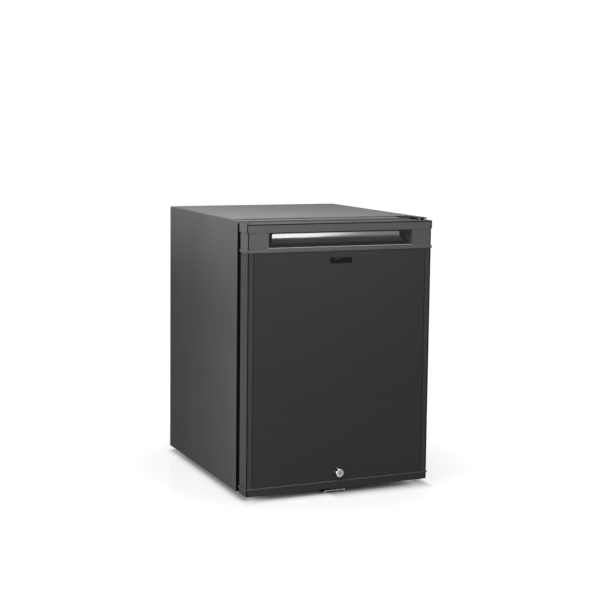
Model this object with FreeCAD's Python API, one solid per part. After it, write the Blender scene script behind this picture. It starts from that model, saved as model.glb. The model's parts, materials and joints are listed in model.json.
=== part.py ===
import FreeCAD, Part
import math
import os

Vector = FreeCAD.Vector

# A free-standing minibar fridge with an absorption cooling unit and a lockable door, in millimetres.
# The origin is on the floor under the middle of the whole fridge. +Z is up, the door faces -Y
# and its hinges are on the +X side. Every piece is drawn with the door shut and the lock open.

# Driving dimensions
cabinet_width = 402.0
cabinet_height = 544.0
cabinet_depth = 415.0
foot_height = 16.0
door_reach = 54.0
lock_proud = 7.5
unit_bay_depth = 95.0
front_wall = 36.0
rear_wall = 30.0

# Clearances that tie mating pieces, and the overrun of every cut
seat_gap = 0.3
running_gap = 0.05
overrun = 5.0

# Main planes
side_x = cabinet_width / 2
back_y = (cabinet_depth + door_reach + lock_proud) / 2
front_y = back_y - cabinet_depth
door_y = front_y - door_reach
base_z = foot_height
top_z = base_z + cabinet_height
bay_y = back_y - unit_bay_depth

# Sheet metal wrap and base pan
sheet = 0.8
wrap_corner = 3.0
ledge_drop = 2.6
ledge_depth = 20.0
front_return = 24.0
rear_return = 12.0
pan_flange = 12.0
vent_count = 5
vent_length = 36.0
vent_width = 8.0
vent_pitch = 50.0
pan_side = side_x - sheet
ledge_z = top_z - ledge_drop

# Inner liner with its shelf ribs
liner_wall = 2.2
liner_corner = 14.0
liner_lip = 14.0
liner_fillet = 8.0
liner_x = side_x - front_wall
liner_floor = base_z + front_wall
liner_ceiling = top_z - front_wall
liner_back = bay_y - rear_wall
rib_levels = 3
rib_first = 128.0
rib_pitch = 72.0
rib_reach = 6.0
rib_height = 5.0
rib_end_gap = 13.0
rib_corner = 2.0
shelf_levels = (0, 2)

# Wire shelves
shelf_front_inset = 74.0
shelf_back_gap = 6.0
shelf_side_gap = 0.8
rail_wire = 5.0
nose_wire = 6.0
brace_wire = 4.0
cross_wire = 3.0
rail_bend = 12.0
shelf_wires = 11
weld_depth = 0.5

# Evaporator and drip tray
fin_count = 13
fin_pitch = 12.5
fin_thick = 2.4
fin_depth = 32.0
fin_plate = 5.0
evaporator_height = 112.0
evaporator_drop = 12.0
tray_width = 196.0
tray_depth = 58.0
tray_height = 20.0
tray_wall = 2.0
tray_taper = 4.0
tray_corner = 8.0
tray_drop = 8.0
drain_width = 12.0
drain_bore = 8.0
drain_x = 90.0
drain_rise = 9.0
drain_out = 12.0

# Lamp and temperature control on the side walls
fitting_y = -40.0
fitting_drop = 58.0
lamp_height = 78.0
lamp_depth = 34.0
lamp_base = 4.0
lamp_rim = 3.0
lamp_bulge = 9.0
lamp_taper = 4.0
lamp_corner = 6.0
control_height = 84.0
control_depth = 56.0
control_reach = 22.0
control_taper = 3.0
control_corner = 7.0
knob_width = 32.0
knob_top = 25.0
knob_reach = 12.0
knob_skirt = 3.0
knob_rib = 3.0
stem_width = 8.0
stem_run = 12.0

# Hinges
hinge_inset = 11.0
pivot_behind = 18.0
pin_width = 6.0
pin_run = 15.0
pin_head = 9.0
pin_rise = 1.0
plate_thick = 2.5
plate_arm = 9.0
plate_width = 42.0
plate_lap = 18.0
plate_corner = 4.0
bush_width = 10.0
bush_run = 16.0
bush_flange = 14.0
bush_floor = 1.5
plug_rise = 1.2
pivot_x = side_x - hinge_inset
pivot_y = door_y + pivot_behind

# Door
door_top_gap = 2.5
door_foot_gap = 1.0
door_top = ledge_z - door_top_gap
door_foot = base_z + door_foot_gap
cap_overhang = 2.0
cap_wall = 2.4
cap_gap = 17.0
band_height = 17.0
band_gap = 15.3
lip_height = 5.0
lip_proud = 1.0
lip_round = 0.9
top_cap_height = 56.0
foot_cap_height = 16.0
foot_lip_height = 3.0
grip_half = 157.0
grip_height = 30.0
grip_depth = 24.0
grip_end_run = 16.0
grip_wall = 2.0
grip_lip = 1.5
rim_inset = 0.6
rim_groove = 2.2
rim_depth = 1.8
band_line = 0.8
profile_face = 12.0
profile_gap = 18.0
profile_lip = 1.2
profile_wall = 1.6
profile_return = 14.0
profile_round = 0.8
panel_tuck = 6.0
panel_end_tuck = 3.0
panel_thick = 1.0
panel_field_gap = 1.6
panel_field_rise = 1.0
top_cap_foot = door_top - top_cap_height
foot_cap_top = door_foot + foot_cap_height
profile_back = front_y - profile_gap
panel_face = door_y + profile_lip - panel_field_rise

# Door liner, racks and gasket
door_liner_wall = 2.0
door_liner_inset = 11.0
dyke_inset = 15.0
dyke_width = 22.0
dyke_reach = 40.0
dyke_taper = 2.0
dyke_corner = 16.0
dyke_inner_corner = 8.0
rack_reach = 78.0
rack_taper = 3.0
rack_corner = 10.0
rack_wall = 2.2
rack_rim = 3.0
upper_rack_foot = 300.0
upper_rack_height = 62.0
lower_rack_height = 86.0
dyke_side = liner_x - dyke_inset
dyke_foot = liner_floor + dyke_inset
dyke_top = liner_ceiling - dyke_inset
lower_rack_foot = dyke_foot + dyke_width + seat_gap
door_liner_back = profile_back + door_liner_wall
gasket_inset = 13.0
gasket_width = 11.0
gasket_root = 3.0
gasket_web_inset = 3.0
gasket_web = 5.0
gasket_magnet = 6.5

# Lock, its cam and its strike
lock_rise = 33.0
lock_flange = 22.0
lock_flange_run = 2.6
lock_boss = 18.0
lock_bevel = 1.2
lock_body = 16.0
lock_body_run = 23.0
lock_core = 12.0
lock_spigot = 6.0
keyway_width = 2.0
keyway_height = 7.5
keyway_depth = 9.0
nut_flats = 20.0
nut_run = 5.0
cam_start = 24.0
cam_thick = 2.5
cam_width = 12.0
cam_reach = 44.0
cam_tail = 8.0
cam_gap = 1.3
cam_bolt_head = 9.0
cam_bolt_rise = 2.4
cam_bolt_width = 3.5
cam_bolt_run = 9.0
pocket_margin = 16.0
strike_drop = 7.6
strike_half = 24.0
strike_thick = 1.5
strike_leg = 5.0
strike_round = 3.0
strike_lap = 30.0
strike_step = 6.0
lock_z = base_z + lock_rise
cam_y = door_y + cam_start
strike_z = base_z - strike_drop

# Feet
foot_clear = 50.2
front_foot_inset = 45.0
rear_foot_inset = 40.0
foot_pad = 36.0
foot_pad_top = 24.0
foot_pad_rise = 7.0
stud_width = 8.0
stud_run = 24.0
foot_bush_width = 13.0
foot_bush_run = 18.0
foot_bush_flange = 20.0
foot_bush_lip = 1.2
rear_foot_width = 34.0
rear_foot_top = 28.0
foot_round = 2.0
foot_x = pan_side - foot_clear

# Cooling unit in the open bay at the back
unit_stand = 46.0
boiler_clear = 32.2
boiler_half = 36.0
boiler_foot = 62.0
boiler_height = 310.0
boiler_corner = 8.0
boiler_lid = 10.0
boiler_lid_proud = 1.5
boiler_strap = 20.0
boiler_strap_inset = 50.0
vapour_width = 26.0
vapour_bend = 34.0
condenser_z = 500.0
condenser_width = 20.0
condenser_lead = 40.0
condenser_clear = 50.2
unit_fin_count = 20
unit_fin_inset = 14.0
unit_fin_half = 30.0
unit_fin_rise = 26.0
unit_fin_thick = 0.8
unit_fin_corner = 5.0
ammonia_width = 12.0
ammonia_bend = 14.0
ammonia_out = 24.0
ammonia_drop = 50.0
ammonia_return = 54.0
cover_clear = 55.2
cover_width = 150.0
cover_foot = 384.0
cover_height = 92.0
cover_thick = 14.0
cover_corner = 12.0
cover_taper = 3.0
exchanger_z = 418.0
exchanger_width = 26.0
exchanger_bend = 17.0
exchanger_stand = 33.0
coil_width = 18.0
coil_stand = 62.0
coil_runs = 5
coil_pitch = 42.0
coil_top = 352.0
coil_lead = 82.0
coil_clear = 70.2
vessel_width = 66.0
vessel_z = 104.0
vessel_lead = 62.0
vessel_clear = 24.2
vessel_dome = 18.0
return_width = 20.0
bracket_sheet = 2.0
bracket_margin = 12.0
bracket_hole_gap = 0.2
coil_bracket_lead = 20.0
coil_bracket_inset = 38.0
condenser_bracket_inset = 6.0
cradle_lead = 50.0
cradle_inset = 60.0
cradle_drop = 38.0
cradle_lap = 22.0
terminal_shift = 12.0
terminal_width = 84.0
terminal_foot = 22.0
terminal_height = 36.0
terminal_depth = 52.0
terminal_corner = 4.0
terminal_lid = 8.0
terminal_lid_proud = 1.0
conduit_width = 10.0
gland_width = 16.0
gland_nose = 13.0
gland_run = 10.0
gland_bore = 8.0
gland_collar = 4.0
unit_y = bay_y + unit_stand
coil_y = bay_y + coil_stand
boiler_x = boiler_clear + boiler_half - pan_side
condenser_start = boiler_x + condenser_lead
condenser_end = pan_side - condenser_clear
ammonia_x = condenser_end - ammonia_return
cover_x = pan_side - cover_clear - cover_width / 2
coil_left = boiler_x + coil_lead
coil_right = pan_side - coil_clear
comb_left = coil_left + coil_bracket_lead
comb_right = coil_right - coil_bracket_inset
exchanger_x = (comb_left + comb_right) / 2
vessel_left = boiler_x + vessel_lead
vessel_right = pan_side - vessel_clear
terminal_x = boiler_x + terminal_shift


# Drawing helpers

def block(x0, x1, y0, y1, z0, z1):
    """A plain block between two corners."""
    return Part.makeBox(x1 - x0, y1 - y0, z1 - z0, Vector(x0, y0, z0))


def placed(plane, u, v, level):
    """A point of the plane 'xy', 'xz' or 'yz' at a level along its normal."""
    if plane == "xy":
        return Vector(u, v, level)
    if plane == "xz":
        return Vector(u, level, v)
    return Vector(level, u, v)


def normal_of(plane, run):
    """The plane's normal with the length of a run."""
    return placed(plane, 0, 0, run)


def outline(corners, plane, level):
    """A closed wire through corners (u, v) or (u, v, radius), whose arcs are tangent."""
    points = [placed(plane, corner[0], corner[1], level) for corner in corners]
    starts = []
    arcs = []
    ends = []
    for place, corner in enumerate(corners):
        here = points[place]
        if len(corner) < 3 or corner[2] == 0:
            starts.append(here)
            arcs.append(None)
            ends.append(here)
            continue
        back = points[place - 1] - here
        onward = points[(place + 1) % len(points)] - here
        back.normalize()
        onward.normalize()
        half = back.getAngle(onward) / 2
        run = corner[2] / math.tan(half)
        middle = back + onward
        middle.normalize()
        starts.append(here + back * run)
        ends.append(here + onward * run)
        arcs.append(here + middle * (corner[2] / math.sin(half) - corner[2]))
    edges = []
    for place, arc in enumerate(arcs):
        if arc is not None:
            edges.append(Part.Arc(starts[place], arc, ends[place]).toShape())
        finish = starts[(place + 1) % len(starts)]
        if ends[place].distanceToPoint(finish) > running_gap / 10:
            edges.append(Part.LineSegment(ends[place], finish).toShape())
    return Part.Wire(edges)


def bevelled(corners):
    """Corners (u, v, bevel) replaced by two points, so that the corner is cut off straight."""
    cut = []
    for place, corner in enumerate(corners):
        if len(corner) < 3:
            cut.append(corner)
            continue
        here = Vector(corner[0], corner[1], 0)
        for other in (corners[place - 1], corners[(place + 1) % len(corners)]):
            along = Vector(other[0], other[1], 0) - here
            along.normalize()
            point = here + along * corner[2]
            cut.append((point.x, point.y))
    return cut


def prism(corners, plane, start, end):
    """An outline carried along its plane's normal."""
    return Part.Face(outline(corners, plane, start)).extrude(normal_of(plane, end - start))


def rectangle(u0, u1, v0, v1, radius=0):
    """The corners of a rectangle with round corners."""
    return [(u0, v0, radius), (u1, v0, radius), (u1, v1, radius), (u0, v1, radius)]


def taper(first, second, plane, start, end):
    """A solid that runs from one outline to another of the same kind."""
    wires = [outline(first, plane, start), outline(second, plane, end)]
    return Part.makeLoft(wires, True, True)


def rod(plane, width, u, v, start, end):
    """A round bar along the plane's normal."""
    axis = normal_of(plane, end - start)
    return Part.makeCylinder(width / 2, end - start, placed(plane, u, v, start), axis)


def turned(plane, u, v, section):
    """A turned piece: corners (radius, level) spun about the plane's normal at u, v."""
    side = "xz" if plane != "xz" else "xy"
    face = Part.Face(outline(section, side, 0))
    full_turn = 360
    piece = face.revolve(Vector(0, 0, 0), normal_of("xy" if side == "xz" else "xz", 1), full_turn)
    if plane == "yz":
        piece.rotate(Vector(0, 0, 0), Vector(0, 1, 0), full_turn / 4)
    piece.translate(placed(plane, u, v, 0))
    return piece


def bent_tube(route, width, bend):
    """A round tube along a route of straight runs joined by tangent arcs."""
    edges = []
    last = route[0]
    for place in range(1, len(route) - 1):
        corner = route[place]
        back = last - corner
        onward = route[place + 1] - corner
        back.normalize()
        onward.normalize()
        half = back.getAngle(onward) / 2
        run = bend / math.tan(half)
        middle = back + onward
        middle.normalize()
        start = corner + back * run
        edges.append(Part.LineSegment(last, start).toShape())
        end = corner + onward * run
        arc_middle = corner + middle * (bend / math.sin(half) - bend)
        edges.append(Part.Arc(start, arc_middle, end).toShape())
        last = end
    edges.append(Part.LineSegment(last, route[-1]).toShape())
    heading = route[1] - route[0]
    ring = Part.Wire(Part.makeCircle(width / 2, route[0], heading))
    return Part.Wire(edges).makePipeShell([ring], True, False)


def frame_ring(half, foot, top, width, start, end):
    """A rectangular ring in the XZ plane, from its outer edge inwards by width."""
    outer = block(-half, half, start, end, foot, top)
    hole = block(width - half, half - width, start - overrun, end + overrun, foot + width, top - width)
    return outer.cut(hole)


def joined(pieces):
    """Several solids fused into one."""
    return pieces[0].multiFuse(pieces[1:]).removeSplitter()


def mirrored(piece):
    """The same piece on the other side of the fridge."""
    return piece.mirror(Vector(0, 0, 0), Vector(1, 0, 0))


# Cabinet shell

def wrap_outline(inset):
    """The cabinet's section across its width, open below, set in by the sheet or not at all."""
    corner = wrap_corner - inset
    side = side_x - inset
    foot = base_z - (overrun if inset else 0)
    return [(-side, foot), (side, foot), (side, top_z - inset, corner), (-side, top_z - inset, corner)]


def cabinet_wrap():
    outer = prism(wrap_outline(0), "xz", front_y, back_y)
    shell = outer.cut(prism(wrap_outline(sheet), "xz", front_y - overrun, back_y + overrun))
    step_end = front_y + ledge_depth
    wide = side_x + overrun
    shell = shell.cut(block(-wide, wide, front_y - overrun, step_end, ledge_z, top_z + overrun))
    ledge = block(-side_x, side_x, front_y, step_end + sheet, ledge_z - sheet, ledge_z)
    riser = block(-side_x, side_x, step_end, step_end + sheet, ledge_z - sheet, top_z)
    front_hole_x = side_x - front_return
    front_strip = block(-side_x, side_x, front_y, front_y + sheet, base_z, ledge_z)
    front_hole = block(-front_hole_x, front_hole_x, front_y - overrun, front_y + overrun,
                       base_z - overrun, ledge_z - front_return)
    rear_hole_x = side_x - rear_return
    rear_strip = block(-side_x, side_x, back_y - sheet, back_y, base_z, top_z)
    rear_hole = block(-rear_hole_x, rear_hole_x, back_y - overrun, back_y + overrun,
                      base_z - overrun, top_z - rear_return)
    strips = [ledge, riser, front_strip.cut(front_hole), rear_strip.cut(rear_hole)]
    return joined([shell] + [strip.common(outer) for strip in strips])


def foot_places():
    """Where the front feet's threaded bushes pass through the base pan."""
    return [(-foot_x, front_y + front_foot_inset), (foot_x, front_y + front_foot_inset)]


def base_pan():
    front_edge = side_x - front_return
    floor = block(-pan_side, pan_side, front_y + sheet, back_y - sheet, base_z, base_z + sheet)
    front = block(-front_edge, front_edge, front_y, front_y + sheet, base_z, base_z + front_return)
    flanges = []
    for edge in (-pan_side, pan_side - sheet):
        flanges.append(block(edge, edge + sheet, front_y + sheet, bay_y - sheet, base_z, base_z + pan_flange))
    pan = joined([floor, front] + flanges)
    first = -vent_pitch * (vent_count - 1) / 2
    for place in range(vent_count):
        middle = first + place * vent_pitch
        slot = rectangle(middle - vent_length / 2, middle + vent_length / 2,
                         unit_y - vent_width / 2, unit_y + vent_width / 2, vent_width / 2 - running_gap)
        pan = pan.cut(prism(slot, "xy", base_z - overrun, base_z + overrun))
    for x, y in foot_places():
        pan = pan.cut(rod("xy", foot_bush_width, x, y, base_z - overrun, base_z + overrun))
    return pan


def back_panel():
    foot = base_z + sheet
    panel = prism(rectangle(-pan_side, pan_side, foot, top_z - sheet, wrap_corner - sheet),
                  "xz", bay_y - sheet, bay_y)
    drain_z = liner_floor + drain_rise
    return panel.cut(rod("xz", drain_width, drain_x, drain_z, bay_y - overrun, bay_y + overrun))


def liner_solid(grow, front, back):
    """The liner's hollow, or its outer body when grown by the wall, with a rounded back edge."""
    side = liner_x + grow
    body = prism(rectangle(-side, side, liner_floor - grow, liner_ceiling + grow, liner_corner + grow),
                 "xz", front, back)
    rim = [edge for edge in body.Edges if abs(edge.BoundBox.YMin - back) < running_gap]
    return body.makeFillet(liner_fillet + grow, rim)


def inner_liner():
    lip_back = front_y + sheet + liner_wall
    side = liner_x + liner_lip
    lip = prism(rectangle(-side, side, liner_floor - liner_lip, liner_ceiling + liner_lip, liner_corner),
                "xz", front_y + sheet, lip_back)
    body = liner_solid(liner_wall, front_y + sheet, liner_back + liner_wall).fuse(lip)
    body = body.cut(liner_solid(0, front_y - overrun, liner_back))
    ribs = []
    rib_front = front_y + shelf_front_inset
    rib_back = liner_back - rib_end_gap
    for level in range(rib_levels):
        top = rib_top(level)
        nose = liner_x - rib_reach
        root = liner_x + liner_wall / 2
        section = [(nose, top, rib_corner), (nose, top - rib_height, rib_corner),
                   (root, top - rib_height), (root, top)]
        rib = prism(section, "xz", rib_front, rib_back)
        ribs += [rib, mirrored(rib)]
    drain_z = liner_floor + drain_rise
    drain = rod("xz", drain_bore, drain_x, drain_z, liner_back - overrun, liner_back + overrun)
    return joined([body] + ribs).cut(drain)


def rib_top(level):
    """The height of the top of one pair of shelf ribs."""
    return liner_floor + rib_first + rib_pitch * level


def cabinet_foam():
    inside = prism(wrap_outline(sheet), "xz", front_y + sheet + liner_wall, bay_y - sheet)
    foam = inside.cut(block(-side_x, side_x, front_y, back_y, base_z - overrun * 2, base_z + sheet))
    front_cut = front_y + ledge_depth + sheet
    foam = foam.cut(block(-side_x, side_x, front_y, front_cut, ledge_z - sheet, top_z))
    foam = foam.cut(liner_solid(liner_wall, front_y - overrun, liner_back + liner_wall))
    for edge in (-pan_side, pan_side - sheet):
        foam = foam.cut(block(edge, edge + sheet, front_y, bay_y, base_z, base_z + pan_flange))
    for x, y in foot_places():
        foam = foam.cut(rod("xy", foot_bush_width, x, y, base_z, base_z + foot_bush_run))
    return foam.cut(rod("xz", drain_width, drain_x, liner_floor + drain_rise, liner_back, bay_y))


# Feet

def foot_bushes():
    bushes = []
    top = base_z + foot_bush_run
    bore = stud_width / 2 + running_gap
    for x, y in foot_places():
        section = [(bore, base_z - foot_bush_lip), (foot_bush_flange / 2, base_z - foot_bush_lip),
                   (foot_bush_flange / 2, base_z), (foot_bush_width / 2, base_z),
                   (foot_bush_width / 2, top), (bore, top)]
        bushes.append(turned("xy", x, y, section))
    return Part.makeCompound(bushes)


def levelling_foot(x, y):
    stud_top = foot_pad_rise + stud_run
    section = [(0, 0), (foot_pad / 2, 0), (foot_pad / 2, foot_pad_rise / 2, foot_round),
               (foot_pad_top / 2, foot_pad_rise, foot_round), (stud_width / 2, foot_pad_rise),
               (stud_width / 2, stud_top), (0, stud_top)]
    return turned("xy", x, y, bevelled(section))


def rear_feet():
    feet = []
    for x in (-foot_x, foot_x):
        section = [(0, 0), (rear_foot_width / 2, 0), (rear_foot_width / 2, foot_height / 2, foot_round),
                   (rear_foot_top / 2, foot_height), (0, foot_height)]
        feet.append(turned("xy", x, back_y - rear_foot_inset, bevelled(section)))
    return Part.makeCompound(feet)


# Inside the cabinet

def wire_shelf(level):
    """A welded wire shelf: a bent rail, a thicker nose wire, and straight wires on top of them."""
    rail = rail_wire / 2
    side = liner_x - shelf_side_gap - rail
    front = front_y + shelf_front_inset + nose_wire / 2
    back = liner_back - shelf_back_gap - rail
    z = rib_top(level) + nose_wire / 2
    route = [Vector(side, front, z), Vector(side, back, z), Vector(-side, back, z), Vector(-side, front, z)]
    wires = [bent_tube(route, rail_wire, rail_bend)]
    wires.append(rod("yz", nose_wire, front, z, -side - rail, side + rail))
    wires.append(rod("yz", brace_wire, (front + back) / 2, z, -side, side))
    cross_z = z + rail + cross_wire / 2 - weld_depth
    pitch = side * 2 / (shelf_wires + 1)
    for place in range(shelf_wires):
        x = pitch * (place + 1) - side
        wires.append(rod("xz", cross_wire, x, cross_z, front - rail, back + rail - weld_depth))
    return joined(wires)


def evaporator_fins():
    """One extrusion: a plate on the liner's back wall with upright cooling fins."""
    top = liner_ceiling - evaporator_drop
    plate_front = liner_back - fin_plate
    tip = plate_front - fin_depth
    first = -fin_pitch * (fin_count - 1) / 2
    last = first + fin_pitch * (fin_count - 1)
    left = first - fin_thick
    corners = [(last + fin_thick, liner_back), (left, liner_back), (left, plate_front)]
    for place in range(fin_count):
        x = first + place * fin_pitch
        corners += [(x - fin_thick / 2, plate_front), (x - fin_thick / 4, tip),
                    (x + fin_thick / 4, tip), (x + fin_thick / 2, plate_front)]
    corners.append((last + fin_thick, plate_front))
    return prism(corners, "xy", top - evaporator_height, top)


def drip_tray():
    top = liner_ceiling - evaporator_drop - evaporator_height - tray_drop
    foot = top - tray_height
    front = liner_back - tray_depth
    side = tray_width / 2
    low_side = side - tray_taper
    upper = rectangle(-side, side, front, liner_back, tray_corner)
    lower = rectangle(-low_side, low_side, front + tray_taper, liner_back, tray_corner)
    inner_top = rectangle(tray_wall - side, side - tray_wall, front + tray_wall, liner_back - tray_wall,
                          tray_corner - tray_wall)
    inner_low = rectangle(tray_wall - low_side, low_side - tray_wall, front + tray_taper + tray_wall,
                          liner_back - tray_wall, tray_corner - tray_wall)
    hollow = taper(inner_low, inner_top, "xy", foot + tray_wall, top)
    mouth = prism(inner_top, "xy", top, top + overrun)
    return taper(lower, upper, "xy", foot, top).cut(hollow).cut(mouth)


def drain_tube():
    z = liner_floor + drain_rise
    start = liner_back + liner_wall
    tube = rod("xz", drain_width, drain_x, z, start, bay_y + drain_out)
    return tube.cut(rod("xz", drain_bore, drain_x, z, start - overrun, bay_y + drain_out + overrun))


def fitting_rectangle(height, depth, inset, radius):
    """The outline of a fitting on a side wall, set in all round."""
    z = liner_ceiling - fitting_drop
    return rectangle(fitting_y - depth / 2 + inset, fitting_y + depth / 2 - inset,
                     z - height / 2 + inset, z + height / 2 - inset, radius)


def lamp_holder():
    outline_here = fitting_rectangle(lamp_height, lamp_depth, 0, lamp_corner)
    return prism(outline_here, "yz", -liner_x, lamp_base - liner_x)


def lamp_lens():
    foot = lamp_base - liner_x
    wide = fitting_rectangle(lamp_height, lamp_depth, lamp_rim, lamp_corner)
    narrow = fitting_rectangle(lamp_height, lamp_depth, lamp_rim + lamp_taper, lamp_corner)
    return taper(wide, narrow, "yz", foot, foot + lamp_bulge)


def control_housing():
    wide = fitting_rectangle(control_height, control_depth, 0, control_corner)
    narrow = fitting_rectangle(control_height, control_depth, control_taper, control_corner)
    housing = taper(narrow, wide, "yz", liner_x - control_reach, liner_x)
    z = liner_ceiling - fitting_drop
    bore = stem_width + running_gap * 2
    face = liner_x - control_reach
    return housing.cut(rod("yz", bore, fitting_y, z, face - overrun, face + stem_run + seat_gap))


def control_knob():
    """A turned knob with a skirt, a flat grip rib across it and a stem in the housing."""
    back = liner_x - control_reach - seat_gap
    front = back - knob_reach
    stem_end = liner_x - control_reach + stem_run
    section = [(0, front), (knob_top / 2, front, foot_round), (knob_top / 2, back - knob_skirt),
               (knob_width / 2, back - knob_skirt), (knob_width / 2, back), (stem_width / 2, back),
               (stem_width / 2, stem_end), (0, stem_end)]
    z = liner_ceiling - fitting_drop
    knob = turned("yz", fitting_y, z, bevelled(section))
    for side in (-1, 1):
        near = fitting_y + side * knob_rib / 2
        far = fitting_y + side * knob_width
        cheek = block(front - overrun, back - knob_skirt * 2, min(near, far), max(near, far),
                      z - knob_width, z + knob_width)
        knob = knob.cut(cheek)
    return knob


# Hinges

def hinge_plate(foot):
    """A flat steel plate: a wide root on the cabinet and a round-ended arm over the pivot."""
    right = pivot_x + plate_arm
    left = right - plate_width
    arm_left = pivot_x - plate_arm
    nose = pivot_y - plate_arm
    root_front = front_y + sheet
    root_back = front_y + plate_lap
    nose_round = plate_arm - running_gap
    corners = [(right, nose, nose_round), (right, root_back, plate_corner), (left, root_back, plate_corner),
               (left, root_front, plate_corner), (arm_left, root_front, plate_corner),
               (arm_left, nose, nose_round)]
    plate = prism(corners, "xy", foot, foot + plate_thick)
    return plate.cut(rod("xy", pin_width, pivot_x, pivot_y, foot - overrun, foot + overrun))


def hinge_pins():
    """The upper pin hangs from its plate with a low round head; the lower one stands on its plate."""
    top = ledge_z + plate_thick
    upper = [(0, top - plate_thick - pin_run), (pin_width / 2, top - plate_thick - pin_run),
             (pin_width / 2, top), (pin_head / 2, top), (pin_head / 2, top + pin_rise, pin_rise / 2),
             (0, top + pin_rise)]
    foot = base_z - plate_thick
    lower = [(0, foot - pin_rise), (pin_head / 2, foot - pin_rise), (pin_head / 2, foot),
             (pin_width / 2, foot), (pin_width / 2, base_z + pin_run), (0, base_z + pin_run)]
    pins = [turned("xy", pivot_x, pivot_y, bevelled(upper)), turned("xy", pivot_x, pivot_y, lower)]
    return Part.makeCompound(pins)


def bush_section(face, inward):
    """Half section of a flanged bush with a closed end; inward is 1 up into the door or -1 down."""
    bore = pin_width / 2 + running_gap
    lip = face - inward * (door_foot_gap - seat_gap)
    floor = face + inward * (bush_run - bush_floor)
    end = face + inward * bush_run
    return [(bore, lip), (bush_flange / 2, lip), (bush_flange / 2, face), (bush_width / 2, face),
            (bush_width / 2, end), (0, end), (0, floor), (bore, floor)]


def hinge_bushes():
    upper = turned("xy", pivot_x, pivot_y, bush_section(door_top, -1))
    lower = turned("xy", pivot_x, pivot_y, bush_section(door_foot, 1))
    return Part.makeCompound([upper, lower])


def hinge_hole_plug():
    """The cap over the unused hinge hole on the other side of the door's top."""
    section = [(0, door_top - bush_run / 2), (bush_width / 2 - running_gap, door_top - bush_run / 2),
               (bush_width / 2 - running_gap, door_top), (bush_flange / 2, door_top),
               (bush_flange / 2, door_top + plug_rise, plug_rise / 2), (0, door_top + plug_rise)]
    return turned("xy", -pivot_x, pivot_y, bevelled(section))


# Door

def rim_grooves(foot, top, side):
    """The narrow shadow groove in the door's face, just inside both of its upright edges."""
    outer = side - rim_inset
    groove = block(outer - rim_groove, outer, door_y - overrun, door_y + rim_depth, foot, top)
    return [groove, mirrored(groove)]


def grip_hollow(wall):
    """The scoop of the handle, or its outer skin when a wall is given: a curved floor that sweeps
    up and back behind the band, between ends that lean inwards."""
    top = door_top - band_height + wall
    foot = top - grip_height - wall * 2
    front = door_y - overrun
    back = door_y + grip_depth + wall
    bend = grip_depth
    floor = [(front, foot), (back, foot, bend), (back, top), (front, top)]
    scoop = prism(floor, "yz", -grip_half - wall, grip_half + wall)
    half = grip_half + wall
    back_half = half - grip_end_run
    ends = [(-half, front), (half, front), (half, door_y + grip_lip), (back_half, back),
            (-back_half, back), (-half, door_y + grip_lip)]
    return scoop.common(prism(ends, "xy", foot - overrun, top + overrun))


def door_top_cap():
    body_back = front_y - cap_gap
    band_back = front_y - band_gap
    wide = side_x + cap_overhang
    band_foot = door_top - band_height
    band = block(-wide, wide, door_y, band_back, band_foot, door_top)
    body = block(-side_x, side_x, door_y, body_back, top_cap_foot, band_foot)
    lip_corners = [(door_y - lip_proud, top_cap_foot), (body_back, top_cap_foot),
                   (body_back, top_cap_foot + lip_height),
                   (door_y - lip_proud, top_cap_foot + lip_height, lip_round)]
    lip = prism(lip_corners, "yz", -wide, wide)
    outer = joined([band, body, lip])
    inner_x = side_x - cap_wall
    hollow = block(-inner_x, inner_x, door_y + cap_wall, band_back + overrun,
                   top_cap_foot - overrun, door_top - cap_wall)
    tuck = block(-inner_x, inner_x, door_y + profile_lip, band_back + overrun,
                 top_cap_foot - overrun, top_cap_foot + panel_end_tuck)
    shell = outer.cut(hollow).cut(tuck)
    skin = grip_hollow(grip_wall).common(outer)
    cap = shell.fuse(skin).cut(grip_hollow(0))
    rim_top = door_top - rim_inset
    rim_side = wide - rim_inset
    front = door_y - overrun
    cap = cap.cut(block(-rim_side, rim_side, front, door_y + rim_depth, rim_top - rim_groove, rim_top))
    cap = cap.cut(block(-wide, wide, front, door_y + band_line, band_foot - band_line, band_foot))
    grooves = rim_grooves(band_foot, rim_top, wide)
    grooves += rim_grooves(top_cap_foot + lip_height, band_foot, side_x)
    for groove in grooves:
        cap = cap.cut(groove)
    boss_foot = door_top - bush_run
    for x in (-pivot_x, pivot_x):
        boss = rod("xy", bush_width + cap_wall, x, pivot_y, boss_foot, door_top - cap_wall / 2)
        cap = cap.fuse(boss.common(outer))
        cap = cap.cut(rod("xy", bush_width, x, pivot_y, boss_foot - overrun, door_top + overrun))
    return cap.removeSplitter()


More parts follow.
